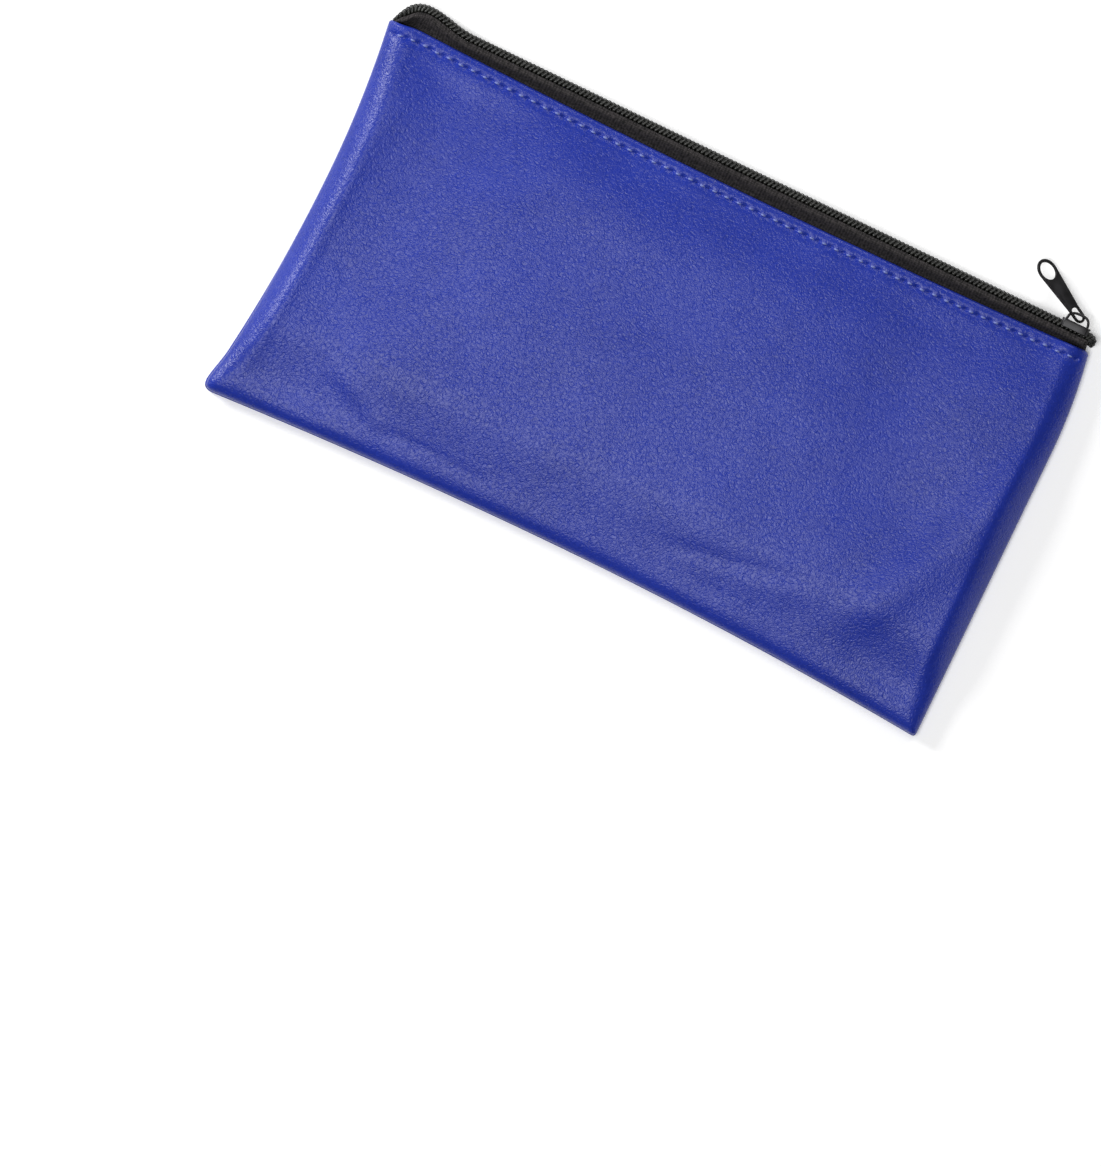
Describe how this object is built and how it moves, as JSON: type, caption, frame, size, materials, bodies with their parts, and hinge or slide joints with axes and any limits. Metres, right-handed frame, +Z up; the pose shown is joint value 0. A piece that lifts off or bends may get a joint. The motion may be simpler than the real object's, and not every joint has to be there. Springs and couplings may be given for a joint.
{
  "type": "zippered cash deposit bag",
  "caption": "Flat zippered leatherette bag for carrying cash and cheques, with a long nylon coil zipper, a sliding zipper runner and a swinging metal pull.",
  "frame": {"origin": "on the back panel's resting face, under the middle of the panels", "axes": "+X along the zipper towards its closed end, +Y from the bottom seam to the zipper, +Z up through the bag's thickness"},
  "size_m": [0.2799, 0.1718, 0.0126],
  "materials": {
    "leatherette": "fine-grained matte PVC leatherette, royal blue",
    "zipper_tape": "woven black polyester tape",
    "nylon_coil": "satin black nylon monofilament",
    "zipper_thread": "black polyester thread",
    "hem_thread": "pale grey-blue polyester thread",
    "slider_metal": "satin black painted die-cast zinc"
  },
  "bodies": {
    "bag": {"front_panel": "leatherette", "back_panel": "leatherette", "front_zipper_tape": "zipper_tape", "back_zipper_tape": "zipper_tape", "front_coil": "nylon_coil", "back_coil": "nylon_coil", "front_coil_cord": "zipper_thread", "back_coil_cord": "zipper_thread", "front_coil_sewing": "zipper_thread", "back_coil_sewing": "zipper_thread", "front_hem_needle_thread": "hem_thread", "front_hem_bobbin_thread": "hem_thread", "back_hem_needle_thread": "hem_thread", "back_hem_bobbin_thread": "hem_thread", "closing_seam_thread": "hem_thread"},
    "slider": {"slider_body": "slider_metal"},
    "pull": {"pull_tab": "slider_metal"}
  },
  "joints": [
    {"name": "zipper_slide", "type": "slide", "parent": "bag", "child": "slider", "axis": [1, 0, 0], "range_m": [-0.228, 0]},
    {"name": "pull_swing", "type": "hinge", "parent": "slider", "child": "pull", "pos_m": [0.129, 0.08117, 0.0056], "axis": [0, 0, 1], "range_deg": [-130, 6]}
  ]
}
